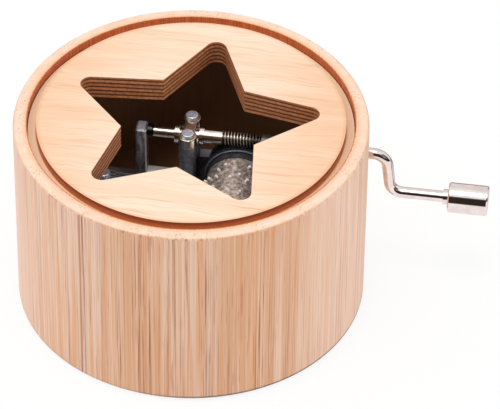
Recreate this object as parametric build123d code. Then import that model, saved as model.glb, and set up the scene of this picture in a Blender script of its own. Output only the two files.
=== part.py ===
from build123d import *
import math
import os

# Round wooden hand-crank music box: a turned case with a star-pierced inset lid, and inside it a
# small cylinder movement whose worm shaft is driven by a bent wire crank with a turning knob.
# Millimetres. +Z is up, the crank shaft runs along +X, and the origin is the centre of the base.

# ---- driving dimensions ----
# case
case_d = 70.0            # outside diameter
case_h = 42.6            # overall height
wall_t = 5.0             # side wall around the movement
floor_t = 11.5           # solid floor under the movement
rim_w = 2.75             # ring of end grain left around the lid
rim_round = 0.9          # outer rounding of the rim
foot_chamfer = 0.6       # bevel at the foot
# lid
lid_t = 5.2              # plywood thickness
groove_w = 1.8           # channel between rim and raised centre
groove_depth = 1.8       # depth of that channel
lid_gap = 0.15           # radial play of the lid in its rebate
star_r = 27.9            # centre to a tip, before rounding
star_waist_r = 13.96     # centre to an inner corner
star_tip_round = 2.1     # cutter radius in the tips
star_turn = 14.8         # direction of the first tip
star_x = 0.2
star_y = -0.5
# base pad
pad_d = 58.0
pad_t = 1.0
pad_gap = 0.2
# crank shaft and worm
shaft_y = 11.0           # shaft line beside the case axis
shaft_h = 17.8           # shaft line above the underside of the movement
journal_d = 2.2
end_journal_d = 1.4
sleeve_d = 3.0
socket_d = 3.4
run_gap = 0.05           # radial running clearance of every shaft
worm_pitch_r = 1.2
worm_turns = 12
thread_crest = 0.12
thread_root = 0.36
# barrel and wheel
module_ = 0.2
wheel_teeth = 69
tooth_crest = 0.14
tooth_root = 0.34
wheel_w = 4.0
wheel_collar_d = 13.5
wheel_collar_w = 1.84
flange_w = 0.5           # smooth flange in front of the teeth
flange_rise = 0.15       # it stands this much above the tooth tips
flange_edge = 0.12
barrel_x = 8.6
barrel_d = 13.0
barrel_margin = 0.5      # last track to the end of the tube
barrel_wall = 0.6
arbor_d = 1.6
clip_t = 0.5
plug_len = 3.0
plug_flange = 0.5
pin_d = 0.6
pin_h = 0.6
# comb
tooth_count = 18
tooth_spacing = 0.98
tooth_w = 0.76
tooth_t = 0.5
comb_clear = 0.25        # first tooth to the column of the centre bearing
comb_t = 1.5
comb_back_x = -21.8
comb_root_far_x = -16.4
comb_root_near_x = -11.5
comb_tip_gap = 0.1       # tooth tip to the circle of the pin tips
comb_lift = 0.6          # top of the comb plate above the barrel axis
weight_count = 8
weight_len = 4.0
weight_drop = 1.6
weight_back = 1.2        # tip of a tooth to its lead weight
# movement bed
bed_t = 1.8
bed_x0 = -24.5
bed_x1 = 25.0
bed_y0 = -16.0
bed_y1 = 17.0
bed_gap = 1.0
bearing_x = -2.0
bearing_w = 3.7
column_d = 3.3
bearing_reach = 2.9
cap_h = 2.2
cap_waist_w = 2.6        # the cap is narrower between its two round ends
cap_edge = 0.2
saddle_h = 3.2
end_post_x = -11.8
end_post_t = 2.2
end_post_w = 3.3
end_post_rise = 1.2
web_t = 2.3
web_h = 7.5
lug_t = 2.4
lug_r = 2.4
lug_gap = 0.4
bracket_reach = 9.2
bracket_top = 0.5
# collars on the shaft
collar_d = 3.8
end_collar_d = 2.9
collar_t = 0.9
collar_gap = 0.2
# screws
cap_screw_d = 1.4
cap_screw_head_d = 2.6
cap_screw_head_h = 0.7
cap_screw_len = 5.5
comb_screw_d = 1.8
comb_screw_head_d = 3.0
comb_screw_head_h = 1.0
comb_screw_len = 4.5
comb_screw_x = -18.7
comb_screw_step = 7.0
bed_screw_d = 2.5
bed_screw_head_d = 4.6
bed_screw_head_h = 1.7
bed_screw_len = 9.0
bed_screw_sink = 5.5
far_screw_r = 22.2       # two bed screws on this circle
near_screw_r = 14.3      # and one on this
boss_d = 5.6
boss_h = 2.2
fit_gap = 0.02           # radial play of a seated screw or pin
shaft_tail = 0.3         # how far an arbor or a wire stands past what holds it
end_play = 0.15          # axial play beside a clip, a stop or a retainer
thread_runout = 0.2
thread_sink = 0.03       # how deep the thread is rooted in the core
post_edge = 0.5          # rounding of the end post
post_bevel = 0.35        # bevel round its top
hole_spare = 0.3         # a screw hole is this much deeper than its screw
# crank
wire_d = 2.3
wire_hole_d = 4.3
socket_depth = 3.0
socket_floor = 1.0
arm_gap = 2.7            # widest point of the case to the centre line of the arm
arm_drop = 9.4
arm_lean = 1.1
elbow_in_r = 3.0
elbow_out_r = 2.6
knob_d = 6.1
knob_len = 8.0
pin_reach = 12.8         # centre line of the arm to the knob
knob_floor = 1.2
bush_d = 3.8
bush_inset = 0.2
bush_len = 5.4
stop_d = 3.1
stop_t = 0.9
retainer_d = 3.4
retainer_t = 0.4
knob_edge = 0.25

# ---- derived places ----
case_r = case_d / 2
cavity_r = case_r - wall_t
rebate_r = case_r - rim_w
ledge_z = case_h - lid_t
bed_z = floor_t
bed_top = bed_z + bed_t
shaft_z = bed_z + shaft_h
wheel_pitch_r = module_ * wheel_teeth / 2
wheel_tip_r = wheel_pitch_r + module_
wheel_root_r = wheel_pitch_r - 1.25 * module_
worm_tip_r = worm_pitch_r + module_
worm_root_r = worm_pitch_r - 1.25 * module_
worm_lead = math.pi * module_
worm_len = worm_turns * worm_lead
barrel_z = shaft_z - wheel_pitch_r - worm_pitch_r
barrel_r = barrel_d / 2
pin_tip_r = barrel_r + pin_h
wheel_y0 = shaft_y - wheel_w / 2
wheel_y1 = shaft_y + wheel_w / 2
barrel_y1 = wheel_y0 - wheel_collar_w
first_tooth_y = shaft_y - bearing_reach - column_d / 2 - comb_clear - tooth_w / 2
last_tooth_y = first_tooth_y - (tooth_count - 1) * tooth_spacing
barrel_y0 = last_tooth_y - barrel_margin
comb_top = barrel_z + comb_lift
comb_seat = comb_top - comb_t
tip_x = barrel_x - pin_tip_r - comb_tip_gap
bearing_x0 = bearing_x - bearing_w / 2
bearing_x1 = bearing_x + bearing_w / 2
end_post_x0 = end_post_x - end_post_t / 2
end_post_x1 = end_post_x + end_post_t / 2
cap_top = shaft_z + cap_h
comb_mid_y = (first_tooth_y + last_tooth_y) / 2
comb_half_w = (first_tooth_y - last_tooth_y + tooth_w) / 2
bearing_ys = [shaft_y - bearing_reach, shaft_y + bearing_reach]
comb_screw_ys = [comb_mid_y - comb_screw_step, comb_mid_y, comb_mid_y + comb_screw_step]
front_lug_y1 = barrel_y0 - plug_flange - lug_gap
front_lug_y0 = front_lug_y1 - lug_t
rear_lug_y0 = wheel_y1 + lug_gap
rear_lug_y1 = rear_lug_y0 + lug_t
pin_z = shaft_z - arm_drop
arm_x = case_r + arm_gap
knob_x = arm_x + pin_reach
LOW = (Align.CENTER, Align.CENTER, Align.MIN)
# the three screws that hold the bed to the floor of the case
bed_screw_places = []
for ring_r, turn in [(far_screw_r, 148), (far_screw_r, -30), (near_screw_r, -115)]:
    turn = math.radians(turn)
    bed_screw_places.append((ring_r * math.cos(turn), ring_r * math.sin(turn)))


# ---- helpers ----
def block(x0, x1, y0, y1, z0, z1):
    """A box from its six limits."""
    corner = (Align.MIN, Align.MIN, Align.MIN)
    return Pos(x0, y0, z0) * Box(x1 - x0, y1 - y0, z1 - z0, align=corner)


def rod_z(x, y, z0, z1, r):
    """A round bar standing along Z."""
    return Pos(x, y, z0) * Cylinder(r, z1 - z0, align=LOW)


def rod_x(x0, x1, y, z, r):
    """A round bar along X."""
    return Pos(x0, y, z) * Rot(0, 90, 0) * Cylinder(r, x1 - x0, align=LOW)


def rod_y(y0, y1, x, z, r):
    """A round bar along Y."""
    return Pos(x, y0, z) * Rot(-90, 0, 0) * Cylinder(r, y1 - y0, align=LOW)


def screw(head_d, head_h, shank_d, length):
    """A cross-recessed pan-head screw: head on the plane z = 0, shank below it."""
    head = Cylinder(head_d / 2, head_h, align=LOW)
    head = fillet(head.edges().group_by(Axis.Z)[-1], head_h * 0.35)
    shank = Pos(0, 0, -length) * Cylinder(shank_d / 2, length, align=LOW)
    shank = chamfer(shank.edges().group_by(Axis.Z)[0], shank_d * 0.15)
    slot_len = head_d * 0.6
    slot_w = head_d * 0.16
    slot = Pos(0, 0, head_h * 0.5) * Box(slot_len, slot_w, head_h, align=LOW)
    return head + shank - slot - Rot(0, 0, 90) * slot


def save(name, *pieces):
    """Write one sub-part, whose separate solids stay separate."""
    solids = [s for piece in pieces for s in piece.solids()]
    shape = solids[0] if len(solids) == 1 else Compound(children=solids)
    shape.label = name
    export_step(shape, os.path.join("parts", name + ".step"))
    print(name, len(solids))


# ---- case and lid ----
def make_case():
    body = Cylinder(case_r, case_h, align=LOW)
    body = fillet(body.edges().group_by(Axis.Z)[-1], rim_round)
    body = chamfer(body.edges().group_by(Axis.Z)[0], foot_chamfer)
    body -= rod_z(0, 0, floor_t, case_h, cavity_r)
    body -= rod_z(0, 0, ledge_z, case_h + 1, rebate_r)
    body -= rod_z(0, 0, -1, pad_t, pad_d / 2 + pad_gap)
    body -= rod_x(0, case_r + 1, shaft_y, shaft_z, wire_hole_d / 2)
    for x, y in bed_screw_places:
        body -= rod_z(x, y, 0, floor_t + 1, bed_screw_d / 2 + fit_gap)
        body -= rod_z(x, y, 0, bed_screw_sink, bed_screw_head_d / 2 + pad_gap)
    return body


def star_face():
    points = []
    for k in range(5):
        a = math.radians(star_turn + 72 * k)
        b = math.radians(star_turn + 72 * k + 36)
        points.append((star_r * math.cos(a), star_r * math.sin(a)))
        points.append((star_waist_r * math.cos(b), star_waist_r * math.sin(b)))
    face = make_face(Polyline(*points, close=True))
    tips = [v for v in face.vertices() if math.hypot(v.X, v.Y) > (star_r + star_waist_r) / 2]
    return fillet(tips, star_tip_round)


def make_lid():
    flange = rod_z(0, 0, ledge_z, case_h - groove_depth, rebate_r - lid_gap)
    raised = rod_z(0, 0, ledge_z, case_h, rebate_r - groove_w)
    lid = flange + raised
    cut = extrude(star_face(), lid_t + 2)
    return lid - Pos(star_x, star_y, ledge_z - 1) * cut


# ---- movement bed ----
def bearing_outline(z0, z1):
    """The obround of the centre bearing, from z0 to z1."""
    y0, y1 = bearing_ys
    core = block(bearing_x0, bearing_x1, y0, y1, z0, z1)
    return core + rod_z(bearing_x, y0, z0, z1, bearing_w / 2) + rod_z(bearing_x, y1, z0, z1, bearing_w / 2)


def make_bed():
    bed = block(bed_x0, bed_x1, bed_y0, bed_y1, bed_z, bed_top)
    bed = bed & rod_z(0, 0, bed_z, bed_top, cavity_r - bed_gap)
    # end post and the low web that ties it to the centre bearing
    half = end_post_w / 2
    top = shaft_z + end_post_rise
    post = block(end_post_x0, end_post_x1, shaft_y - half, shaft_y + half, bed_z, top)
    post = fillet(post.edges().filter_by(Axis.Z), post_edge)
    bed += chamfer(post.edges().group_by(Axis.Z)[-1], post_bevel)
    web_z = bed_z + web_h
    bed += block(end_post_x0, bearing_x, shaft_y - web_t / 2, shaft_y + web_t / 2, bed_z, web_z)
    # centre bearing: two columns under a saddle
    for y in bearing_ys:
        bed += rod_z(bearing_x, y, bed_z, shaft_z - saddle_h / 2, column_d / 2)
    bed += bearing_outline(shaft_z - saddle_h, shaft_z)
    # lugs for the barrel arbor
    lug_z = bed_z
    for y0, y1 in [(front_lug_y0, front_lug_y1), (rear_lug_y0, rear_lug_y1)]:
        bed += block(barrel_x - lug_r, barrel_x + lug_r, y0, y1, lug_z, barrel_z)
        bed += rod_y(y0, y1, barrel_x, barrel_z, lug_r)
    bracket_z = barrel_z + bracket_top
    bed += block(barrel_x - bracket_reach, barrel_x, rear_lug_y0, rear_lug_y1, bed_z, bracket_z)
    # rail that carries the comb
    rail_y0 = comb_mid_y - comb_half_w
    rail_y1 = comb_mid_y + comb_half_w
    bed += block(comb_back_x, comb_root_far_x, rail_y0, rail_y1, bed_z, comb_seat)
    for x, y in bed_screw_places:
        bed += rod_z(x, y, bed_z, bed_top + boss_h, boss_d / 2)
    # bores
    bed -= rod_x(end_post_x0 - 1, end_post_x1 + 1, shaft_y, shaft_z, end_journal_d / 2 + run_gap)
    bed -= rod_x(bearing_x0 - 1, bearing_x1 + 1, shaft_y, shaft_z, journal_d / 2 + run_gap)
    bed -= rod_y(front_lug_y0 - 1, front_lug_y1 + 1, barrel_x, barrel_z, arbor_d / 2 + run_gap)
    bed -= rod_y(rear_lug_y0 - 1, rear_lug_y1 + 1, barrel_x, barrel_z, arbor_d / 2 + run_gap)
    for y in bearing_ys:
        depth = cap_screw_len + hole_spare
        bed -= rod_z(bearing_x, y, cap_top - depth, shaft_z + 1, cap_screw_d / 2 + fit_gap)
    for y in comb_screw_ys:
        depth = comb_screw_len + hole_spare
        bed -= rod_z(comb_screw_x, y, comb_top - depth, comb_seat + 1, comb_screw_d / 2 + fit_gap)
    for x, y in bed_screw_places:
        tip = bed_screw_sink + bed_screw_len + hole_spare
        bed -= rod_z(x, y, bed_z - 1, tip, bed_screw_d / 2 + fit_gap)
    return bed


def make_bearing_cap():
    half = cap_waist_w / 2
    y0, y1 = bearing_ys
    cap = block(bearing_x - half, bearing_x + half, y0, y1, shaft_z, cap_top)
    for y in bearing_ys:
        cap += rod_z(bearing_x, y, shaft_z, cap_top, bearing_w / 2)
    cap = fillet(cap.edges().group_by(Axis.Z)[-1], cap_edge)
    cap -= rod_x(bearing_x0 - 1, bearing_x1 + 1, shaft_y, shaft_z, journal_d / 2 + run_gap)
    for y in bearing_ys:
        cap -= rod_z(bearing_x, y, shaft_z - 1, cap_top + 1, cap_screw_d / 2 + fit_gap)
    return cap


# ---- comb ----
def root_x(y):
    """The slanted line where the teeth leave the comb plate."""
    far_y = comb_mid_y + comb_half_w
    share = (far_y - y) / (2 * comb_half_w)
    return comb_root_far_x + share * (comb_root_near_x - comb_root_far_x)


def make_comb():
    far_y = comb_mid_y + comb_half_w
    near_y = comb_mid_y - comb_half_w
    outline = Polyline(
        (comb_back_x, near_y),
        (comb_root_near_x, near_y),
        (comb_root_far_x, far_y),
        (comb_back_x, far_y),
        close=True,
    )
    comb = Pos(0, 0, comb_seat) * extrude(make_face(outline), comb_t)
    for k in range(tooth_count):
        y = first_tooth_y - k * tooth_spacing
        comb += block(root_x(y) - comb_t, tip_x, y - tooth_w / 2, y + tooth_w / 2,
                      barrel_z - tooth_t / 2, barrel_z + tooth_t / 2)
    for y in comb_screw_ys:
        comb -= rod_z(comb_screw_x, y, comb_seat - 1, comb_top + 1, comb_screw_d / 2 + fit_gap)
    return comb


def make_comb_weights():
    weights = []
    z1 = barrel_z - tooth_t / 2
    for k in range(weight_count):
        y = first_tooth_y - k * tooth_spacing
        drop = weight_drop * (1 - 0.09 * k)
        x1 = tip_x - weight_back
        weights.append(block(x1 - weight_len, x1, y - tooth_w / 2, y + tooth_w / 2, z1 - drop, z1))
    return weights


# ---- barrel ----
def make_barrel():
    tube = rod_y(barrel_y0, barrel_y1, barrel_x, barrel_z, barrel_r)
    # the notes that show under the star, as (track, degrees up from +X)
    notes = [(1, 110), (2, 122), (3, 143), (4, 124), (4, 84), (5, 98), (5, 69), (1, 70), (7, 126), (9, 77)]
    # the rest of the tune has two notes on each beat and wanders over the tracks
    for step in range(9, 31):
        for voice in range(3):
            track = (step * 5 + step // 4 * 3 + voice * 7) % tooth_count
            notes.append((track, 10 * step + 3 * voice + 60))
    pins = []
    for track, angle in notes:
        y = first_tooth_y - track * tooth_spacing
        pin = Rot(0, 90 - angle, 0) * Cylinder(pin_d / 2, pin_tip_r, align=LOW)
        pins.append(Pos(barrel_x, y, barrel_z) * pin)
    tube = tube + pins
    return tube - rod_y(barrel_y0 - 1, barrel_y1 + 1, barrel_x, barrel_z, barrel_r - barrel_wall)


def make_worm_wheel():
    # toothed rim in its own frame: local Z becomes +Y, and local -Y becomes +Z
    points = []
    half_pitch = math.pi / wheel_teeth
    twist = math.degrees(math.atan(module_ / 2 / worm_pitch_r) * wheel_w / wheel_pitch_r)
    for k in range(wheel_teeth):
        mid = -math.pi / 2 + half_pitch + 2 * math.pi * k / wheel_teeth
        for r, width, side in [
            (wheel_root_r, tooth_root, -1),
            (wheel_tip_r, tooth_crest, -1),
            (wheel_tip_r, tooth_crest, 1),
            (wheel_root_r, tooth_root, 1),
        ]:
            a = mid + side * width / 2 / wheel_pitch_r
            points.append((r * math.cos(a), r * math.sin(a)))
    face = make_face(Polyline(*points, close=True)).faces()[0]
    rim = Solid.extrude_linear_with_rotation(face, (0, 0, 0), (0, 0, wheel_w), twist)
    rim = Pos(barrel_x, wheel_y0, barrel_z) * Rot(-90, 0, 0) * Rot(0, 0, -twist / 2) * rim
    bore_r = arbor_d / 2 + fit_gap
    collar = rod_y(barrel_y1, wheel_y0, barrel_x, barrel_z, wheel_collar_d / 2)
    flange = rod_y(wheel_y0 - flange_w, wheel_y0, barrel_x, barrel_z, wheel_tip_r + flange_rise)
    collar += chamfer(flange.edges().filter_by(GeomType.CIRCLE), flange_edge)
    spigot_r = barrel_r - barrel_wall - fit_gap
    spigot = rod_y(barrel_y1 - plug_len, barrel_y1, barrel_x, barrel_z, spigot_r)
    wheel = rim + collar + spigot
    return wheel - rod_y(barrel_y1 - plug_len - 1, wheel_y1 + 1, barrel_x, barrel_z, bore_r)


def make_end_plug():
    spigot_r = barrel_r - barrel_wall - fit_gap
    plug = rod_y(barrel_y0, barrel_y0 + plug_len, barrel_x, barrel_z, spigot_r)
    plug += rod_y(barrel_y0 - plug_flange, barrel_y0, barrel_x, barrel_z, barrel_r)
    bore_r = arbor_d / 2 + fit_gap
    return plug - rod_y(barrel_y0 - 2, barrel_y0 + plug_len + 1, barrel_x, barrel_z, bore_r)


# ---- shaft and crank ----
def make_worm_shaft():
    start = barrel_x - worm_len / 2
    end = start + worm_len
    shaft = rod_x(end_post_x0 + end_play, end_post_x1 + collar_gap, shaft_y, shaft_z, end_journal_d / 2)
    sleeve_x = bearing_x1 + collar_gap + collar_t
    shaft += rod_x(end_post_x1 + collar_gap, sleeve_x, shaft_y, shaft_z, journal_d / 2)
    core_x0 = start - thread_runout
    core_x1 = end + thread_runout
    shaft += rod_x(sleeve_x, core_x0, shaft_y, shaft_z, sleeve_d / 2)
    shaft += rod_x(core_x0, core_x1, shaft_y, shaft_z, worm_root_r)
    # single-start right-hand thread
    path = Helix(pitch=worm_lead, height=worm_len, radius=worm_root_r - thread_sink)
    depth = worm_tip_r - worm_root_r + thread_sink
    plane = Plane(origin=path @ 0, x_dir=(1, 0, 0), z_dir=path % 0)
    outline = Polygon(
        (0, -thread_root / 2),
        (depth, -thread_crest / 2),
        (depth, thread_crest / 2),
        (0, thread_root / 2),
        align=None,
    )
    thread = sweep(plane * outline, path=path, is_frenet=True)
    shaft += Pos(start, shaft_y, shaft_z) * Rot(0, 90, 0) * thread
    socket_x1 = core_x1 + socket_floor + socket_depth
    shaft += rod_x(core_x1, socket_x1, shaft_y, shaft_z, socket_d / 2)
    bore_x = core_x1 + socket_floor
    shaft -= rod_x(bore_x, socket_x1 + 1, shaft_y, shaft_z, wire_d / 2 + fit_gap)
    return shaft


def make_collars():
    places = [
        (end_post_x1 + collar_gap, end_collar_d),
        (bearing_x0 - collar_gap - collar_t, collar_d),
        (bearing_x1 + collar_gap, collar_d),
    ]
    rings = []
    for x, d in places:
        ring = rod_x(x, x + collar_t, shaft_y, shaft_z, d / 2)
        rings.append(ring - rod_x(x - 1, x + collar_t + 1, shaft_y, shaft_z, journal_d / 2 + fit_gap))
    return rings


def wire_end_x():
    return knob_x + bush_inset + bush_len + end_play + retainer_t + shaft_tail


def make_crank_wire():
    start = barrel_x + worm_len / 2 + thread_runout + socket_floor
    corners = [
        (start, shaft_y, shaft_z),
        (arm_x, shaft_y, shaft_z),
        (arm_x + arm_lean, shaft_y, pin_z),
        (wire_end_x(), shaft_y, pin_z),
    ]
    path = FilletPolyline(*corners, radius=[elbow_in_r, elbow_out_r])
    disc = Plane(origin=corners[0], z_dir=(1, 0, 0)) * Circle(wire_d / 2)
    return sweep(disc, path=path)


def make_knob():
    knob = rod_x(knob_x, knob_x + knob_len, shaft_y, pin_z, knob_d / 2)
    ends = knob.edges().filter_by(GeomType.CIRCLE)
    knob = chamfer(ends, knob_edge)
    bore_end = knob_x + knob_len - knob_floor
    return knob - rod_x(knob_x - 1, bore_end, shaft_y, pin_z, bush_d / 2 + fit_gap)


def make_bush():
    x0 = knob_x + bush_inset
    bush = rod_x(x0, x0 + bush_len, shaft_y, pin_z, bush_d / 2)
    return bush - rod_x(x0 - 1, x0 + bush_len + 1, shaft_y, pin_z, wire_d / 2 + run_gap)


def ring_on_wire(x0, x1, r):
    ring = rod_x(x0, x1, shaft_y, pin_z, r)
    return ring - rod_x(x0 - 1, x1 + 1, shaft_y, pin_z, wire_d / 2 + fit_gap)


def main():
    os.makedirs("parts", exist_ok=True)
    save("case_body", make_case())
    save("star_lid", make_lid())
    save("base_pad", rod_z(0, 0, 0, pad_t, pad_d / 2))
    save("bed_frame", make_bed())
    save("bearing_cap", make_bearing_cap())
    cap_screw = screw(cap_screw_head_d, cap_screw_head_h, cap_screw_d, cap_screw_len)
    save("bearing_cap_screws", *[Pos(bearing_x, y, cap_top) * cap_screw for y in bearing_ys])
    comb_screw = screw(comb_screw_head_d, comb_screw_head_h, comb_screw_d, comb_screw_len)
    save("comb_screws", *[Pos(comb_screw_x, y, comb_top) * comb_screw for y in comb_screw_ys])
    bed_screw = Rot(180, 0, 0) * screw(bed_screw_head_d, bed_screw_head_h, bed_screw_d, bed_screw_len)
    save("bed_screws", *[Pos(x, y, bed_screw_sink) * bed_screw for x, y in bed_screw_places])
    save("comb", make_comb())
    save("comb_weights", *make_comb_weights())
    save("barrel", make_barrel())
    save("worm_wheel", make_worm_wheel())
    save("barrel_end_plug", make_end_plug())
    clip_y1 = front_lug_y0 - end_play
    clip_y0 = clip_y1 - clip_t
    arbor_y0 = clip_y0 - shaft_tail
    save("barrel_arbor", rod_y(arbor_y0, rear_lug_y1 + shaft_tail, barrel_x, barrel_z, arbor_d / 2))
    clip = rod_y(clip_y0, clip_y1, barrel_x, barrel_z, arbor_d)
    save("arbor_clip", clip - rod_y(clip_y0 - 1, clip_y1 + 1, barrel_x, barrel_z, arbor_d / 2 + fit_gap))
    save("worm_shaft", make_worm_shaft())
    save("shaft_collars", *make_collars())
    save("crank_wire", make_crank_wire())
    save("knob_stop", ring_on_wire(knob_x - end_play - stop_t, knob_x - end_play, stop_d / 2))
    save("crank_knob", make_knob())
    save("knob_bush", make_bush())
    retainer_x = knob_x + bush_inset + bush_len + end_play
    save("knob_retainer", ring_on_wire(retainer_x, retainer_x + retainer_t, retainer_d / 2))


main()
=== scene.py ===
# %% [markdown]
# # A hand-crank music box in Blender
# The solids of this music box come from a CAD model. This lesson gives them their looks: bamboo with its
# fibres, plywood with its plies, chrome, nickel, blued steel and felt. Everything is in metres, and the
# CAD frame fixes where each piece sits, so nothing here moves a part.

import bpy
import bmesh
import math
from mathutils import Matrix, Vector


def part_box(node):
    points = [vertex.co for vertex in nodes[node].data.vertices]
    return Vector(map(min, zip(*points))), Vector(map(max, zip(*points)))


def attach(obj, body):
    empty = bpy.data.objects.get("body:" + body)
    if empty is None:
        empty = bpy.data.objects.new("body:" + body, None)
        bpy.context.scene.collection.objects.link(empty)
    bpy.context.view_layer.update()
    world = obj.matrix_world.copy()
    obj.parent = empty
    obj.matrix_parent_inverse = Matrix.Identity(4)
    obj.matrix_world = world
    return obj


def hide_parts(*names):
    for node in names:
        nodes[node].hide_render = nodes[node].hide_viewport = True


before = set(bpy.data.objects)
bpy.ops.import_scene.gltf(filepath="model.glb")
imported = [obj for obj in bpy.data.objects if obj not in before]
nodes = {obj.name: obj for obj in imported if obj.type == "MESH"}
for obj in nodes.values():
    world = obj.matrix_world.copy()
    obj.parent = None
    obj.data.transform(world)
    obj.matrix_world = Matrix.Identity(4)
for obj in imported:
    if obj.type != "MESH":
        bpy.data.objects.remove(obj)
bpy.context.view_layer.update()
MM = 0.001

# %% [markdown]
# ## Sizes from the frame
# A finish has to know where things are: where the lid starts, where the shaft runs. Such numbers could be
# typed in again, but then they'd be wrong as soon as the model changed. So they are read from the boxes of
# the CAD pieces, in millimetres. Only what no box can tell is written as a number.


# %% Edges of a piece
def edges(name):
    """The lowest and the highest corner of a CAD piece's box, in millimetres."""
    low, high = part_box(name)
    return [part / MM for part in low], [part / MM for part in high]


CASE_TOP = edges("case_body")[1][2]
print("the case is", round(CASE_TOP, 2), "mm high")

# %% [markdown]
# ## The camera
# The photograph looks down on the box at 41 degrees, through a long lens: the far rim is hardly smaller
# than the near one. A camera could be moved by hand until the picture fits. This one was fitted to the
# outline of the case, which gives its two angles, its distance and its lens at once. It looks past the case,
# so that the crank fits in the frame, and a long lens makes that turn tiny.

# %% Camera
PHOTO_W = 500
FOCAL_PX = 3812.4
DISTANCE = 761.5 * MM
LOOK_DOWN = math.radians(41.34)
LOOK_FROM = math.radians(9.1)
CASE_PIXEL = (191.24, 201.27)
PHOTO_CENTRE = (250.0, 204.5)


def aimed_camera():
    """A camera that sees the middle of the case at CASE_PIXEL."""
    side = math.cos(LOOK_DOWN)
    back = Vector((math.sin(LOOK_FROM) * side, -math.cos(LOOK_FROM) * side, math.sin(LOOK_DOWN)))
    target = Vector((0, 0, CASE_TOP * MM / 2))
    right = Vector((0, 0, 1)).cross(back).normalized()
    up = back.cross(right)
    square = Matrix((right, up, back)).transposed()
    across = (CASE_PIXEL[0] - PHOTO_CENTRE[0]) / FOCAL_PX
    down = (CASE_PIXEL[1] - PHOTO_CENTRE[1]) / FOCAL_PX
    turn = Vector((0, 0, -1)).rotation_difference(Vector((across, -down, -1)))
    data = bpy.data.cameras.new("camera")
    data.sensor_width = 36.0
    data.lens = FOCAL_PX / PHOTO_W * data.sensor_width
    data.clip_start = 0.01
    camera = bpy.data.objects.new("camera", data)
    bpy.context.scene.collection.objects.link(camera)
    rotation = square @ turn.to_matrix().inverted()
    camera.matrix_world = Matrix.Translation(target + back * DISTANCE) @ rotation.to_4x4()
    return camera


camera = aimed_camera()
bpy.context.scene.camera = camera
print("lens", round(camera.data.lens, 1), "mm at", round(DISTANCE, 3), "m")

# %% [markdown]
# ## Shader sums
# A finish is a network of nodes, and a network can be drawn with the mouse, but it is easier to read as
# sums. `Value` wraps one socket and overloads the operators, so `1 - mask * 0.5` adds two Math nodes.


# %% Value
class Value:
    """One socket of a shader that can be used in sums."""

    def __init__(self, finish, socket):
        self.finish = finish
        self.socket = socket

    def math(self, operation, first, second=0.0):
        """A Math node on one or two values."""
        return self.finish.node("ShaderNodeMath", {"operation": operation}, {0: first, 1: second})

    def __add__(self, other):
        return self.math("ADD", self, other)

    __radd__ = __add__

    def __sub__(self, other):
        return self.math("SUBTRACT", self, other)

    def __rsub__(self, other):
        return self.math("SUBTRACT", other, self)

    def __mul__(self, other):
        return self.math("MULTIPLY", self, other)

    __rmul__ = __mul__

    def __truediv__(self, other):
        return self.math("DIVIDE", self, other)

    def __rtruediv__(self, other):
        return self.math("DIVIDE", other, self)

    def size(self):
        """The value without its sign."""
        return self.math("ABSOLUTE", self)

    def whole(self):
        """The value rounded down."""
        return self.math("FLOOR", self)

    def rest(self):
        """What is left of the value above the whole number."""
        return self.math("FRACT", self)

    def over(self, limit):
        """1 where the value is over the limit, else 0."""
        return self.math("GREATER_THAN", self, limit)

    def step(self, start, end):
        """A smooth rise from 0 at start to 1 at end."""
        settings = {"interpolation_type": "SMOOTHSTEP"}
        return self.finish.node("ShaderNodeMapRange", settings, {0: self, 1: start, 2: end})


print("reflected operators:", [name for name in vars(Value) if name.startswith("__r")])

# %% [markdown]
# ## Finishes
# Every finish starts from the Principled shader, which is right for wood, metal and plastic alike.
# `Finish.node` makes any node from its type, its settings and what goes into its sockets. Colours are
# written as they look on a screen, 0 to 255, and `paint` turns them into the light that shaders work in.


# %% Finish
class Finish:
    """The material of one finish, with its Principled shader."""

    def __init__(self, name):
        self.name = name
        self.material = bpy.data.materials.new(name)
        self.material.use_nodes = True
        self.tree = self.material.node_tree
        self.shader = self.tree.nodes["Principled BSDF"]

    def node(self, kind, settings=None, sockets=None, output=0):
        """A new node, and the value of one of its outputs, or of all of them for None."""
        made = self.tree.nodes.new(kind)
        for name, value in (settings or {}).items():
            if name == "stops":
                self.set_stops(made.color_ramp, value)
            else:
                setattr(made, name, value)
        for name, value in (sockets or {}).items():
            self.feed(made.inputs[name], value)
        if output is None:
            return [Value(self, socket) for socket in made.outputs]
        return Value(self, made.outputs[output])

    def set_stops(self, ramp, stops):
        """Give a ramp its stops, from pairs of a place and a colour."""
        while len(ramp.elements) < len(stops):
            ramp.elements.new(0.5)
        for element, (place, colour) in zip(ramp.elements, stops):
            element.position = place
            element.color = colour

    def feed(self, socket, value):
        """Link a value to a socket, or write a constant in it."""
        if isinstance(value, Value):
            self.tree.links.new(value.socket, socket)
        else:
            socket.default_value = value

    def set(self, **sockets):
        """Feed sockets of the Principled shader, named with _ for a space."""
        for name, value in sockets.items():
            self.feed(self.shader.inputs[name.replace("_", " ")], value)
        return self

    def mix(self, factor, first, second):
        """A colour between two colours."""
        return self.node("ShaderNodeMix", {"data_type": "RGBA"}, {0: factor, 6: first, 7: second}, output=2)


def paint(red, green, blue):
    """A colour as picked on a screen, 0 to 255, in the light that shaders work in."""
    def light(part):
        part = part / 255
        return part / 12.92 if part <= 0.04045 else ((part + 0.055) / 1.055) ** 2.4

    return (light(red), light(green), light(blue), 1.0)


print("half grey on a screen is", round(paint(128, 128, 128)[0], 3), "of full light")

# %% [markdown]
# ## Grain from places
# Wood could wear a picture, but wood isn't printed on its surface: the fibres run through it. So each wood
# finish reads the place of a point in millimetres, squeezes it along the fibres, and asks a noise there. The
# same fibres then show as streaks where they lie in the surface and as dots where they are cut across.


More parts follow.
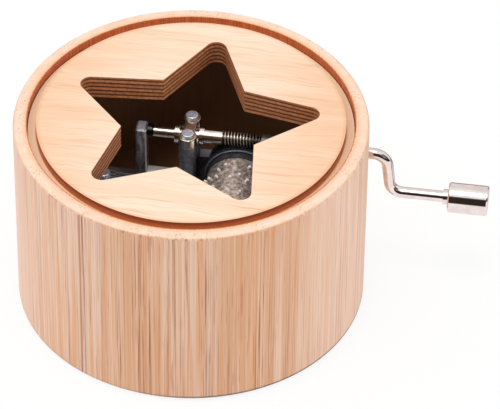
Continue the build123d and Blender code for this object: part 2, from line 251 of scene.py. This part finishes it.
# %% Places, noise and bumps
def place(finish):
    """Where a point is, in millimetres: as one vector, and as three values."""
    spot = finish.node("ShaderNodeTexCoord", output=3)
    scaled = finish.node("ShaderNodeVectorMath", {"operation": "SCALE"}, {"Vector": spot, "Scale": 1 / MM})
    return scaled, finish.node("ShaderNodeSeparateXYZ", {}, {0: scaled}, output=None)


def noise(finish, spot, squeeze, detail=3.0, rough=0.5):
    """Noise that is stretched where squeeze is small."""
    moved = finish.node("ShaderNodeVectorMath", {"operation": "MULTIPLY"}, {0: spot, 1: squeeze})
    sockets = {"Vector": moved, "Scale": 1.0, "Detail": detail, "Roughness": rough}
    return finish.node("ShaderNodeTexNoise", {}, sockets)


def distance(first, second):
    """How far a point is from a line, from its two places across that line."""
    cross = first.finish.node("ShaderNodeCombineXYZ", {}, {0: first, 1: second})
    return first.finish.node("ShaderNodeVectorMath", {"operation": "LENGTH"}, {0: cross}, output=1)


def facing_up(finish):
    """1 on a face that looks up, 0 on a wall, -1 on a face that looks down."""
    normal = finish.node("ShaderNodeNewGeometry", output=1)
    return finish.node("ShaderNodeSeparateXYZ", {}, {0: normal}, output=None)[2]


def bump(finish, height, strength, depth):
    """A normal that leans with the height. The depth is in metres."""
    sockets = {"Strength": strength, "Distance": depth, "Height": height}
    return finish.node("ShaderNodeBump", {}, sockets)


def dress(finish, *names):
    """Give CAD pieces their finish."""
    for name in names:
        mesh = nodes[name].data
        mesh.materials.clear()
        mesh.materials.append(finish.material)
    print(finish.name, "with", len(finish.tree.nodes), "nodes is on", ", ".join(names))


print("helpers:", [tool.__name__ for tool in (place, noise, distance, facing_up, bump, dress)])

# %% [markdown]
# ## Bamboo: strips and fibres
# The case is turned from a block of laminated bamboo strips, each about 6 mm thick. Every strip has its own
# tone, so each gets one random number. Brown fibre bundles run up through the block. A ready wood texture
# has rings, which bamboo lacks, so plain noises are used, stretched about a hundred times along the fibres.

# %% Bamboo strips and grain
STRIP_T, STRIP_W = 6.1, 19.0


def strip_tone(finish, x, y):
    """A number for each strip of the block, 0 to 1."""
    layer = (x / STRIP_T + 0.37).whole()
    row = (y / STRIP_W + layer * 0.41).whole()
    pair = finish.node("ShaderNodeCombineXYZ", {}, {0: layer, 1: row})
    return finish.node("ShaderNodeTexWhiteNoise", {"noise_dimensions": "3D"}, {"Vector": pair})


def bamboo_grain(wood):
    """The noises that every face of the block shares."""
    wood.spot, wood.axes = place(wood)
    wood.soft = noise(wood, wood.spot, (0.5, 0.5, 0.008), 2.0)
    wood.fibre = noise(wood, wood.spot, (3.2, 3.2, 0.02), 3.0, 0.6)
    wood.line = noise(wood, wood.spot, (2.4, 2.4, 0.013), 3.0, 0.75)
    wood.crowd = noise(wood, wood.spot, (0.3, 0.3, 0.01), 2.0, 0.6)


print("strips of", STRIP_T, "by", STRIP_W, "mm")

# %% [markdown]
# ## Bamboo: the turned side
# On the side the fibres lie in the surface. Seen close, there are five kinds: broad warm stretches, fine
# brown fibres, pale threads, short flecks and dark streaks that come in crowds. One noise can't show all of
# them, so each kind is mixed in with its own. The left and right of the side are painted paler as a sheen,
# and the bottom is painted darker as its shadow on the table, most on the right.

# %% Bamboo side
SHEEN_FROM, SHEEN_TO = 18.0, 33.0
SHADE_LOW, SHADE_HIGH = 0.6, 1.15
SHADE_LEFT, SHADE_RIGHT = -12.0, 8.0
TONES = [(0.1, paint(213, 161, 122)), (0.4, paint(222, 179, 144))]
TONES += [(0.65, paint(230, 194, 168)), (0.9, paint(217, 183, 162))]


def bamboo_side(wood):
    """The colour of the turned side."""
    x, y, z = wood.axes
    warm = noise(wood, wood.spot, (0.9, 0.9, 0.012), 2.0)
    thread = noise(wood, wood.spot, (3.6, 3.6, 0.012), 2.0, 0.6)
    fleck = noise(wood, wood.spot, (2.8, 2.8, 0.06), 2.0, 0.6)
    shade = strip_tone(wood, x, y) * 0.4 + wood.soft.step(0.25, 0.75) * 0.6
    colour = wood.node("ShaderNodeValToRGB", {"stops": TONES}, {0: shade})
    colour = wood.mix(warm.step(0.48, 0.6) * 0.6, colour, paint(220, 152, 96))
    colour = wood.mix(wood.fibre.step(0.42, 0.7) * 0.5, colour, paint(204, 144, 102))
    colour = wood.mix(thread.step(0.55, 0.66) * 0.4, colour, paint(240, 208, 180))
    colour = wood.mix(fleck.step(0.6, 0.67) * 0.5, colour, paint(176, 104, 60))
    streak = wood.line.step(0.55, 0.6) * (wood.crowd.step(0.38, 0.6) * 0.75 + 0.2)
    colour = wood.mix(streak, colour, paint(166, 90, 42))
    # painted sheen: the side is paler towards its left and right edges
    colour = wood.mix(x.size().step(SHEEN_FROM, SHEEN_TO) * 0.4, colour, paint(236, 205, 185))
    # painted shadow: darker towards the bottom, most on the right
    foot = (1 - z.step(SHADE_LOW, SHADE_HIGH)) * (x.step(SHADE_LEFT, SHADE_RIGHT) * 0.8 + 0.2)
    return wood.mix(foot, colour, paint(62, 44, 34))


print("side: pale beyond", SHEEN_FROM, "mm from the middle, dirt up to", SHADE_HIGH, "mm")

# %% [markdown]
# ## Bamboo: rim and bore
# The rim cuts the fibres across, so they are specks there. The cutter that made the lid's rebate got hot: it
# left a halo and a scorched line on the rim's inner edge, and burnt stripes on the rebate's wall. The bore
# below is brown all over. Distance from the axis tells these zones apart. Painting them by hand would too,
# but then a change of size would leave the paint behind.

# %% Bamboo rim and bore
LID_GAP = 0.15  # play of the lid in its rebate
REBATE_R = edges("star_lid")[1][0] + LID_GAP
LEDGE_Z = edges("star_lid")[0][2]
FLOOR_Z = edges("bed_frame")[0][2]
HALO_W = 1.8
SCORCH_W = 0.75


def bamboo_rim(wood, radius):
    """The colour of the end grain round the lid."""
    speck = noise(wood, wood.spot, (2.6, 2.6, 0.02), 2.0, 0.6)
    rim = wood.mix(wood.soft.step(0.3, 0.75), paint(243, 213, 190), paint(238, 202, 173))
    specks = speck.step(0.54, 0.7) * wood.crowd.step(0.42, 0.62)
    rim = wood.mix(specks * 0.65, rim, paint(168, 104, 66))
    halo = 1 - (radius + wood.crowd * 0.8).step(REBATE_R + 0.5, REBATE_R + HALO_W)
    rim = wood.mix(halo * 0.75, rim, paint(236, 180, 134))
    scorch = 1 - (radius + speck * 0.8).step(REBATE_R + SCORCH_W - 0.4, REBATE_R + SCORCH_W)
    return wood.mix(scorch * 0.8, rim, paint(150, 84, 46))


def bamboo_bore(wood):
    """The colour of the rebate's wall and of the bore below it."""
    burnt = wood.mix(wood.fibre.step(0.2, 0.8), paint(232, 126, 62), paint(172, 82, 37))
    dark = wood.mix(wood.fibre.step(0.1, 0.9), paint(140, 96, 60), paint(128, 86, 52))
    below_ledge = 1 - wood.axes[2].over(LEDGE_Z + 0.05)
    return wood.mix(below_ledge, burnt, dark)


def bamboo():
    """The case's wood: side, rim and bore, with the fibres standing out a little."""
    wood = Finish("bamboo")
    bamboo_grain(wood)
    x, y, z = wood.axes
    radius = distance(x, y)
    colour = wood.mix(facing_up(wood).step(0.5, 0.9), bamboo_side(wood), bamboo_rim(wood, radius))
    inside = (1 - radius.over(REBATE_R + 0.12)) * z.over(FLOOR_Z - 0.1)
    colour = wood.mix(inside, colour, bamboo_bore(wood))
    wood.set(Base_Color=colour, Roughness=0.5 + wood.fibre * 0.2)
    wood.set(Normal=bump(wood, wood.fibre * 0.5 + wood.line * 0.5, 0.3, 0.1 * MM))
    return wood.set(Coat_Weight=0.4, Coat_Roughness=0.35)


print("rebate radius", round(REBATE_R, 2), "mm, ledge at", round(LEDGE_Z, 2), "mm")
dress(bamboo(), "case_body")

# %% [markdown]
# ## Plywood: the face veneer
# The lid's face veneer has fine grain along the crank's line, and it is warmer towards the left and right.
# Straight grain would look printed, so the place that the noises read is first pushed aside by a slow wave.

# %% Veneer
WARM_FROM, WARM_TO = 8.0, 30.0
GROOVE_W = 1.8
RAISED_R = REBATE_R - GROOVE_W


def plywood_grain(wood):
    """The place in the wavy grain, and the noises that the lid's faces share."""
    spot, wood.axes = place(wood)
    wave = noise(wood, spot, (0.08, 0.1, 0.0), 2.0)
    shift = wood.node("ShaderNodeCombineXYZ", {}, {1: wave * 3.5})
    wood.spot = wood.node("ShaderNodeVectorMath", {"operation": "ADD"}, {0: spot, 1: shift})
    wood.soft = noise(wood, wood.spot, (0.03, 0.3, 0.3), 3.0)
    wood.fine = noise(wood, wood.spot, (0.1, 3.6, 3.6), 5.0, 0.62)
    wood.radius = distance(*wood.axes[:2])


def veneer(wood):
    """The colour of the face, browned a little at the raised edge."""
    pore = noise(wood, wood.spot, (0.07, 2.2, 2.2), 2.0, 0.6)
    broad = noise(wood, wood.spot, (0.04, 0.8, 0.8), 3.0, 0.6)
    outer = wood.axes[0].size().step(WARM_FROM, WARM_TO)
    warm = outer * 0.65 + wood.soft.step(0.35, 0.65) * 0.35
    colour = wood.mix(warm, paint(243, 221, 196), paint(236, 192, 156))
    colour = wood.mix(broad.step(0.54, 0.7) * 0.4, colour, paint(226, 176, 136))
    colour = wood.mix(wood.fine.step(0.42, 0.8) * 0.5, colour, paint(228, 178, 140))
    colour = wood.mix(pore.step(0.58, 0.74) * 0.5, colour, paint(212, 152, 108))
    edge = wood.radius.step(RAISED_R - 1.0, RAISED_R)
    return wood.mix(edge * 0.5, colour, paint(226, 158, 110))


print("raised centre radius", round(RAISED_R, 2), "mm")

# %% [markdown]
# ## Plywood: the star's walls and the channel
# The star was cut out by heat, so its walls are brown, with the glue lines between the plies darker still.
# The plies are counted from the lid's underside: the whole part of the count says which ply, and the rest
# says how near the glue is. The channel's floor is pale, with a burnt line along each wall.

# %% Plies and channel
LID_TOP = edges("star_lid")[1][2]
PLIES = 5.5


def ply_walls(wood):
    """The colour of the star's walls: plies, glue lines and scorch."""
    ply = (wood.axes[2] - LEDGE_Z) / ((LID_TOP - LEDGE_Z) / PLIES)
    from_middle = (ply + wood.soft * 0.3).rest() - 0.5
    glue = from_middle * from_middle
    cross = (ply.whole() * 0.5).rest().over(0.25)
    char = noise(wood, wood.spot, (1.6, 1.6, 2.0), 4.0, 0.65)
    wall = wood.mix(char.step(0.3, 0.7), paint(234, 162, 110), paint(190, 116, 72))
    wall = wood.mix(cross * 0.25, wall, paint(150, 88, 52))
    return wood.mix(glue.step(0.04, 0.14) * 0.9, wall, paint(96, 50, 27))


def channel(wood, flat):
    """The colour of the channel's floor and of its walls, which are darkest at the top."""
    off = (wood.radius - (RAISED_R + REBATE_R) / 2).size()
    floor = wood.mix(off.step(0.65, 0.9), paint(255, 223, 186), paint(224, 146, 88))
    deep = (LID_TOP - wood.axes[2]).step(0.0, 1.6)
    side = wood.mix(deep, paint(140, 58, 14), paint(200, 118, 66))
    return wood.mix(flat, side, floor)


def plywood():
    """The lid's wood."""
    wood = Finish("plywood")
    plywood_grain(wood)
    flat = facing_up(wood).size().step(0.4, 0.8)
    colour = wood.mix(flat, ply_walls(wood), veneer(wood))
    sunk = wood.radius.over(RAISED_R - 0.1) * (LID_TOP - wood.axes[2]).over(0.02)
    colour = wood.mix(sunk, colour, channel(wood, flat))
    wood.set(Base_Color=colour, Roughness=0.45 + wood.fine * 0.2)
    return wood.set(Normal=bump(wood, wood.fine, 0.2, 0.08 * MM))


print("plies of", round((LID_TOP - LEDGE_Z) / PLIES, 2), "mm")
dress(plywood(), "star_lid")

# %% [markdown]
# ## Plated metal
# Plated metal is a mirror with a tint. What tells one metal from another is how blurred the mirror is, and
# how patchy: chrome is even, while bare steel and lead are duller. One function makes them all from a bright
# and a dull colour, so that a new metal is one line. A second one paints a zone of a metal differently.


# %% Metal, chrome, steel and lead
def metal(name, bright, dull, rough, spread, patch, lay=(1.0, 1.0, 1.0), dent=0.1, mirror=1.0):
    """A plated or bare metal: colour and blur wander over patches of about 1 / patch mm.

    A small part of lay stretches the patches that way, dent is how strong the small dents are, and
    mirror is the share of the light that is mirrored as by a metal.
    """
    plate = Finish(name)
    plate.spot, plate.axes = place(plate)
    plate.mirror = mirror
    squeeze = tuple(patch * part for part in lay)
    cloud = noise(plate, plate.spot, squeeze, 4.0, 0.6)
    fine = noise(plate, plate.spot, tuple(6 * part for part in squeeze), 2.0)
    plate.colour = plate.mix(cloud.step(0.3, 0.7), bright, dull)
    plate.blur = rough + cloud * spread
    plate.set(Metallic=mirror, Base_Color=plate.colour, Roughness=plate.blur)
    return plate.set(Normal=bump(plate, fine, dent, 0.02 * MM))


def tell_apart(plate, mask, colour, blur, mirror=None):
    """Give the part of a metal under the mask another colour, blur and share of mirror."""
    plate.colour = plate.mix(mask, plate.colour, colour)
    plate.blur = plate.blur * (1 - mask) + mask * blur
    plate.set(Base_Color=plate.colour, Roughness=plate.blur)
    if mirror is not None:
        plate.mirror = mask * (mirror - plate.mirror) + plate.mirror
        plate.set(Metallic=plate.mirror)


chrome = metal("chrome", paint(246, 240, 236), paint(232, 222, 218), 0.05, 0.05, 0.5)
screw_plate = metal("screw_plate", paint(240, 244, 252), paint(204, 208, 220), 0.16, 0.14, 1.5, mirror=0.65)
steel = metal("steel", paint(196, 194, 192), paint(160, 158, 156), 0.2, 0.15, 1.0)
lead = metal("lead", paint(96, 96, 98), paint(70, 70, 72), 0.5, 0.2, 1.4, dent=0.4)
dress(chrome, "crank_wire", "crank_knob", "knob_stop")
dress(screw_plate, "bearing_cap_screws", "comb_screws", "bed_screws")
dress(steel, "barrel_arbor", "arbor_clip", "knob_retainer")
dress(lead, "comb_weights")

# %% [markdown]
# ## The worm shaft
# The shaft is plated too. Its worm's cut thread has its light and shade painted in: a painted highlight on
# its crests, painted shade between them and more painted shade towards the socket. The ring by the end post
# is dark as well. The thread could be a piece with a finish of its own. But it is one piece with the shaft,
# so the place along the shaft tells the zones apart, and the distance from the shaft's line tells crest from
# root.


# %% Shaft plate
def middle(name):
    """The middle of a CAD piece's box, in millimetres."""
    return [(first + last) / 2 for first, last in zip(*edges(name))]


_, SHAFT_Y, SHAFT_Z = middle("worm_shaft")
THREAD_X = 4.55
CREST_R = 1.34
SOCKET_SHADE_FROM, SOCKET_SHADE_TO = 8.6, 11.0
END_RING_X = -9.3
shaft_plate = metal("shaft_plate", paint(236, 228, 216), paint(206, 194, 180), 0.12, 0.12, 0.9)
along, across, height = shaft_plate.axes
reach = distance(across - SHAFT_Y, height - SHAFT_Z)
thread = along.step(THREAD_X, THREAD_X + 0.15)
# painted shade: the thread is dark between its crests
tell_apart(shaft_plate, thread, paint(100, 86, 77), 0.4)
# painted highlight: the thread's crests are bright
tell_apart(shaft_plate, thread * reach.step(CREST_R - 0.14, CREST_R), paint(232, 222, 212), 0.3, 0.6)
# painted shade: the thread darkens towards the socket
tell_apart(shaft_plate, along.step(SOCKET_SHADE_FROM, SOCKET_SHADE_TO) * 0.85, paint(58, 50, 44), 0.45)
tell_apart(shaft_plate, 1 - along.over(END_RING_X), paint(60, 56, 54), 0.3)
print("shaft line at y, z:", round(SHAFT_Y, 2), round(SHAFT_Z, 2))
dress(shaft_plate, "worm_shaft", "shaft_collars", "bearing_cap")

# %% [markdown]
# ## The cast bed
# A die casting is a dull dark grey. Its light is painted into its colour: a painted highlight in patches on
# the end post, on its tops, on the low web and in a streak on one face of the end post. The direction of the
# surface finds the tops, so no face has to be picked by hand. The height tells one top from another: the web
# gets the brightest painted highlight, the plate below it painted shade.

# %% Casting
WEB_TOP = 19.0
PLATE_TOP = 16.0
RING_GAP = 0.2  # between the end ring and the post
POST_FACE_X = edges("shaft_collars")[0][0] - RING_GAP
LIT_TO_Y = 10.4
casting = metal("casting", paint(158, 158, 164), paint(118, 118, 124), 0.3, 0.15, 1.1, dent=0.3, mirror=0.75)
along, across, height = casting.axes
# painted highlight: bright patches on the end post
light_patches = noise(casting, casting.spot, (1.4, 1.4, 0.3), 2.0)
post = 1 - along.step(POST_FACE_X + 0.2, POST_FACE_X + 1.7)
tell_apart(casting, post * light_patches.step(0.35, 0.65), paint(214, 210, 208), 0.24)
# painted highlight: faces that look up are bright and bluish
up = facing_up(casting).step(0.6, 0.9)
tell_apart(casting, up, paint(206, 210, 226), 0.32, 0.6)
# painted shade: the plate's top, low in the case, is dull and brownish
tell_apart(casting, up * (1 - height.step(PLATE_TOP, PLATE_TOP + 0.4)), paint(150, 137, 131), 0.45)
# painted highlight: the web's top is the brightest
at_web = height.step(WEB_TOP - 0.3, WEB_TOP - 0.2) * (1 - height.step(WEB_TOP + 0.2, WEB_TOP + 0.3))
tell_apart(casting, up * at_web, paint(255, 252, 250), 0.35, 0.2)
# painted highlight: a bright streak on the end post's face
at_face = along.step(POST_FACE_X - 0.3, POST_FACE_X - 0.1) * (1 - along.over(POST_FACE_X + 0.2))
lit = at_face * (1 - across.step(LIT_TO_Y - 0.8, LIT_TO_Y)) * height.over(WEB_TOP)
tell_apart(casting, lit, paint(250, 244, 238), 0.35, 0.3)
dress(casting, "bed_frame")

# %% [markdown]
# ## The comb
# The steel comb is blue-black from its heat treatment, with grind marks along its teeth and a painted
# highlight near one edge of each. Eighteen zones could be painted one by one. But the teeth repeat, so the
# rest of a division by their spacing says where in its tooth a point is: 0.5 is the middle.

# %% Blued steel
TOOTH_STEP, TOOTH_W = 0.98, 0.76
FIRST_TOOTH_Y = edges("comb")[1][1] - TOOTH_W / 2
GRIND = (0.1, 2.0, 1.0)
blued = metal("blued_steel", paint(150, 156, 172), paint(92, 96, 110), 0.24, 0.2, 1.6, GRIND, 0.3, 0.8)
in_tooth = ((blued.axes[1] - FIRST_TOOTH_Y) / TOOTH_STEP + 0.5).rest()
# painted highlight: a bright stripe near one edge of each tooth
tell_apart(blued, (in_tooth - 0.5).step(0.12, 0.24), paint(222, 226, 236), 0.3)
dress(blued, "comb")

# %% [markdown]
# ## The barrel
# The barrel is a nickel tube that has gone cloudy, and its pins are brighter steel, painted near white as a
# highlight. The pins could have a finish of their own, but they are one piece with the tube, so the distance
# from the barrel's line tells them apart.

# %% Nickel
TUBE_X, _, TUBE_Z = middle("barrel_arbor")
TUBE_R = edges("barrel_end_plug")[1][0] - TUBE_X
nickel = metal("nickel", paint(255, 244, 234), paint(150, 131, 118), 0.28, 0.16, 1.2, dent=0.4, mirror=0.7)
reach = distance(nickel.axes[0] - TUBE_X, nickel.axes[2] - TUBE_Z)
# painted highlight: the pins are near white
tell_apart(nickel, reach.step(TUBE_R + 0.05, TUBE_R + 0.2), paint(255, 253, 250), 0.45, 0.1)
print("barrel line at x, z:", round(TUBE_X, 2), round(TUBE_Z, 2), "radius", round(TUBE_R, 2))
dress(nickel, "barrel")

# %% [markdown]
# ## Plastic
# The worm wheel and the barrel's end plug are moulded black plastic: dark, with a soft sheen and a faint
# unevenness from the mould. The wheel's flange has a pale painted highlight along its edge, so it gets a
# finish of its own. The bush in the knob is white nylon.

# %% Plastic finishes
FLANGE_HIGHLIGHT_R = 7.08
FLANGE_HIGHLIGHT_BACK_Y = 8.6


def plastic(name, first, second, rough, flange_highlight=False):
    """Moulded plastic. With flange_highlight, the flange's edge beyond FLANGE_HIGHLIGHT_R from the barrel's
    line gets a pale painted highlight.
    """
    moulded = Finish(name)
    spot, (x, y, z) = place(moulded)
    cloud = noise(moulded, spot, (0.8, 0.8, 0.8), 3.0)
    fine = noise(moulded, spot, (9.0, 9.0, 9.0), 2.0)
    colour = moulded.mix(cloud.step(0.3, 0.7), first, second)
    if flange_highlight:
        reach = distance(x - TUBE_X, z - TUBE_Z)
        # painted highlight along the flange's edge
        edge = reach.step(FLANGE_HIGHLIGHT_R, FLANGE_HIGHLIGHT_R + 0.1) * (1 - y.step(FLANGE_HIGHLIGHT_BACK_Y, FLANGE_HIGHLIGHT_BACK_Y + 0.2))
        colour = moulded.mix(edge * fine.step(0.35, 0.6), colour, paint(156, 158, 164))
    moulded.set(Base_Color=colour, Roughness=rough + cloud * 0.15)
    return moulded.set(Normal=bump(moulded, fine, 0.15, 0.02 * MM))


dress(plastic("wheel_black", paint(66, 66, 70), paint(44, 44, 47), 0.2, flange_highlight=True), "worm_wheel")
dress(plastic("black_plastic", paint(66, 66, 70), paint(44, 44, 47), 0.2), "barrel_end_plug")
dress(plastic("nylon", paint(228, 224, 214), paint(212, 206, 194), 0.4), "knob_bush")

# %% [markdown]
# ## Felt pad: the form
# The pad under the base is pressed felt. Its CAD solid is a plain disc with sharp edges, which felt never
# has. A bevel on that disc would do, but it is as short to turn the pad again from half its outline, with a
# rounded lower edge, and it stays inside the disc for certain.


# %% Turning
def turned(name, profile, steps=128):
    """A solid of revolution about Z from (radius, z) points in millimetres, first and last on the axis."""
    mesh = bpy.data.meshes.new(name)
    form = bmesh.new()
    rings = []
    for radius, z in profile:
        if radius == 0:
            rings.append([form.verts.new((0, 0, z * MM))])
            continue
        turns = [2 * math.pi * k / steps for k in range(steps)]
        corners = [(radius * math.cos(turn) * MM, radius * math.sin(turn) * MM, z * MM) for turn in turns]
        rings.append([form.verts.new(corner) for corner in corners])
    for first, second in zip(rings, rings[1:]):
        for k in range(steps):
            m = (k + 1) % steps
            corners = [first[k % len(first)], first[m % len(first)]]
            corners += [second[m % len(second)], second[k % len(second)]]
            form.faces.new(list(dict.fromkeys(corners)))
    bmesh.ops.recalc_face_normals(form, faces=form.faces)
    for face in form.faces:
        face.smooth = True
    form.to_mesh(mesh)
    form.free()
    piece = bpy.data.objects.new(name, mesh)
    bpy.context.scene.collection.objects.link(piece)
    return piece


PAD_R, _, PAD_TOP = edges("base_pad")[1]
ROUND = 0.3
profile = [(0, 0), (PAD_R * 0.5, 0), (PAD_R - ROUND, 0), (PAD_R - 0.3 * ROUND, 0.3 * ROUND)]
profile += [(PAD_R, ROUND), (PAD_R, PAD_TOP), (PAD_R * 0.5, PAD_TOP), (0, PAD_TOP)]
pad = turned("felt_pad", profile)
print("pad radius", round(PAD_R, 1), "mm,", len(pad.data.polygons), "faces")

# %% [markdown]
# ## Felt pad: the cloth
# Pressed felt is matted fibre. Single hairs are too small to model, so two noises stand for them: one for
# the lumps and one for the hairs. A little sheen gives the soft light edge of cloth. The pad stands for the
# CAD disc, rides on the case and is padded through its whole thickness.


# %% Felt
def felt():
    """Dark pressed felt."""
    cloth = Finish("felt")
    spot, _ = place(cloth)
    lump = noise(cloth, spot, (0.9, 0.9, 0.9), 4.0, 0.7)
    hair = noise(cloth, spot, (5.0, 5.0, 5.0), 3.0, 0.7)
    colour = cloth.mix(hair.step(0.3, 0.7), paint(46, 44, 44), paint(70, 67, 66))
    cloth.set(Base_Color=colour, Roughness=0.95, Sheen_Weight=0.3)
    return cloth.set(Normal=bump(cloth, lump * 0.5 + hair * 0.5, 0.7, 0.2 * MM))


cloth = felt()
pad.data.materials.append(cloth.material)
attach(pad, "case")
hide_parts("base_pad")
print(cloth.name, "with", len(cloth.tree.nodes), "nodes is on felt_pad")

# %% [markdown]
# ## The table
# The box stands on a white table. Under lamps alone a white table turns grey, and stronger lamps would burn
# out the pale wood. So the camera sees a glow of strength 1 there, thinned a little so that the object's
# shadow stays. Polished metal mirrors the table greyer behind the box and dark in front of it: the Light
# Path node tells a mirrored ray from the camera's own.

# %% Table
UNDER = -0.1 * MM
GREY_FROM, GREY_TO = 10.0, 60.0
DARK_FROM, DARK_TO = 150.0, 260.0


def flat_floor(size):
    """A square table top that reaches size metres from the middle each way."""
    mesh = bpy.data.meshes.new("floor")
    corners = [(-size, -size, UNDER), (size, -size, UNDER), (size, size, UNDER), (-size, size, UNDER)]
    mesh.from_pydata(corners, [], [(0, 1, 2, 3)])
    floor = bpy.data.objects.new("floor", mesh)
    bpy.context.scene.collection.objects.link(floor)
    return floor


def table():
    """White for the camera, grey and dark for polished metal."""
    white = Finish("table")
    white.set(Base_Color=paint(250, 250, 250), Roughness=0.9)
    rays = white.node("ShaderNodeLightPath", output=None)
    camera_ray, glossy_ray = rays[0], rays[3]
    _, (x, y, z) = place(white)
    mirrored = white.mix(y.step(GREY_FROM, GREY_TO), paint(252, 244, 246), paint(150, 136, 130))
    mirrored = white.mix((0 - y).step(DARK_FROM, DARK_TO), mirrored, paint(48, 38, 34))
    tint = white.mix(glossy_ray, (1, 1, 1, 1), mirrored)
    glow = white.node("ShaderNodeEmission", {}, {"Color": tint, "Strength": 1.0})
    lit = Value(white, white.shader.outputs[0])
    both = white.node("ShaderNodeMixShader", {}, {0: camera_ray * 0.85 + glossy_ray * 0.9, 1: lit, 2: glow})
    white.feed(white.tree.nodes["Material Output"].inputs["Surface"], both)
    return white


floor = flat_floor(3.0)
floor.data.materials.append(table().material)
print("table top at", round(UNDER / MM, 1), "mm")

# %% [markdown]
# ## The world
# Polished metal shows whatever is round it. A photographed sky could be wrapped round the scene, but a few
# sums do the same here: white overhead and dark on the camera's side, as in a studio with a dark room behind
# the camera. That makes the dark band on the knob. Dull surfaces get a plain light, stronger from the sides.


# %% World
class Sky(Finish):
    """The world's nodes, made with the same method."""

    def __init__(self):
        world = bpy.data.worlds.new("studio")
        world.use_nodes = True
        bpy.context.scene.world = world
        self.tree = world.node_tree


def studio():
    """White for the camera, a studio for polished metal, and a plain light for all else."""
    sky = Sky()
    rays = sky.node("ShaderNodeLightPath", output=None)
    camera_ray, glossy_ray = rays[0], rays[3]
    towards = sky.node("ShaderNodeTexCoord", output=0)
    x, y, z = sky.node("ShaderNodeSeparateXYZ", {}, {0: towards}, output=None)
    # the dark room: on the camera's side, from the table up to about 50 degrees
    dark_room = (x * 0.35 - y).step(0.1, 0.3) * z.step(-0.05, 0.0) * (1 - z.step(0.68, 0.82))
    mirrored = sky.mix(y.step(0.1, 0.7), (1, 1, 1, 1), paint(236, 226, 224))
    mirrored = sky.mix(dark_room, mirrored, (0.03, 0.022, 0.018, 1))
    sides = x * x * 1.4 + y.step(-0.2, 0.6) * 0.2 + 0.34
    glossy = sky.node("ShaderNodeBackground", {}, {"Color": mirrored, "Strength": 1.0})
    plain = sky.node("ShaderNodeBackground", {}, {"Color": (1, 1, 1, 1), "Strength": sides})
    backdrop = sky.node("ShaderNodeBackground", {}, {"Color": (1, 1, 1, 1), "Strength": 1.0})
    lit = sky.node("ShaderNodeMixShader", {}, {0: glossy_ray, 1: plain, 2: glossy})
    seen = sky.node("ShaderNodeMixShader", {}, {0: camera_ray, 1: lit, 2: backdrop})
    sky.feed(sky.tree.nodes["World Output"].inputs["Surface"], seen)
    return sky


sky = studio()
print("world with", len(sky.tree.nodes), "nodes")

# %% [markdown]
# ## The lamps
# A large lamp makes soft shadows and a small one hard ones. The photograph's shadows are soft, so a large
# key lamp stands on the left and a weak fill on the right. The movement deep in the case is well lit all the
# same, so a smaller lamp shines down through the star. The view transform is Standard, which shows colours
# as they are written.


# %% Lamps
LAMP_AIM = Vector((0, 0, 20 * MM))


def soft_lamp(name, where, size, watts):
    """A square lamp that is aimed at the middle of the box."""
    data = bpy.data.lights.new(name, "AREA")
    data.size = size
    data.energy = watts
    lamp = bpy.data.objects.new(name, data)
    lamp.location = where
    aim = LAMP_AIM - Vector(where)
    lamp.rotation_euler = aim.to_track_quat("-Z", "Y").to_euler()
    bpy.context.scene.collection.objects.link(lamp)
    print(name, "lamp of", watts, "W at", where)


soft_lamp("key", (-0.45, -0.3, 1.0), 0.8, 2.4)
soft_lamp("fill", (0.8, -0.5, 0.6), 0.7, 0.3)
soft_lamp("top", (0.05, -0.2, 1.2), 0.4, 3.6)
bpy.context.scene.view_settings.view_transform = "Standard"

# %% [markdown]
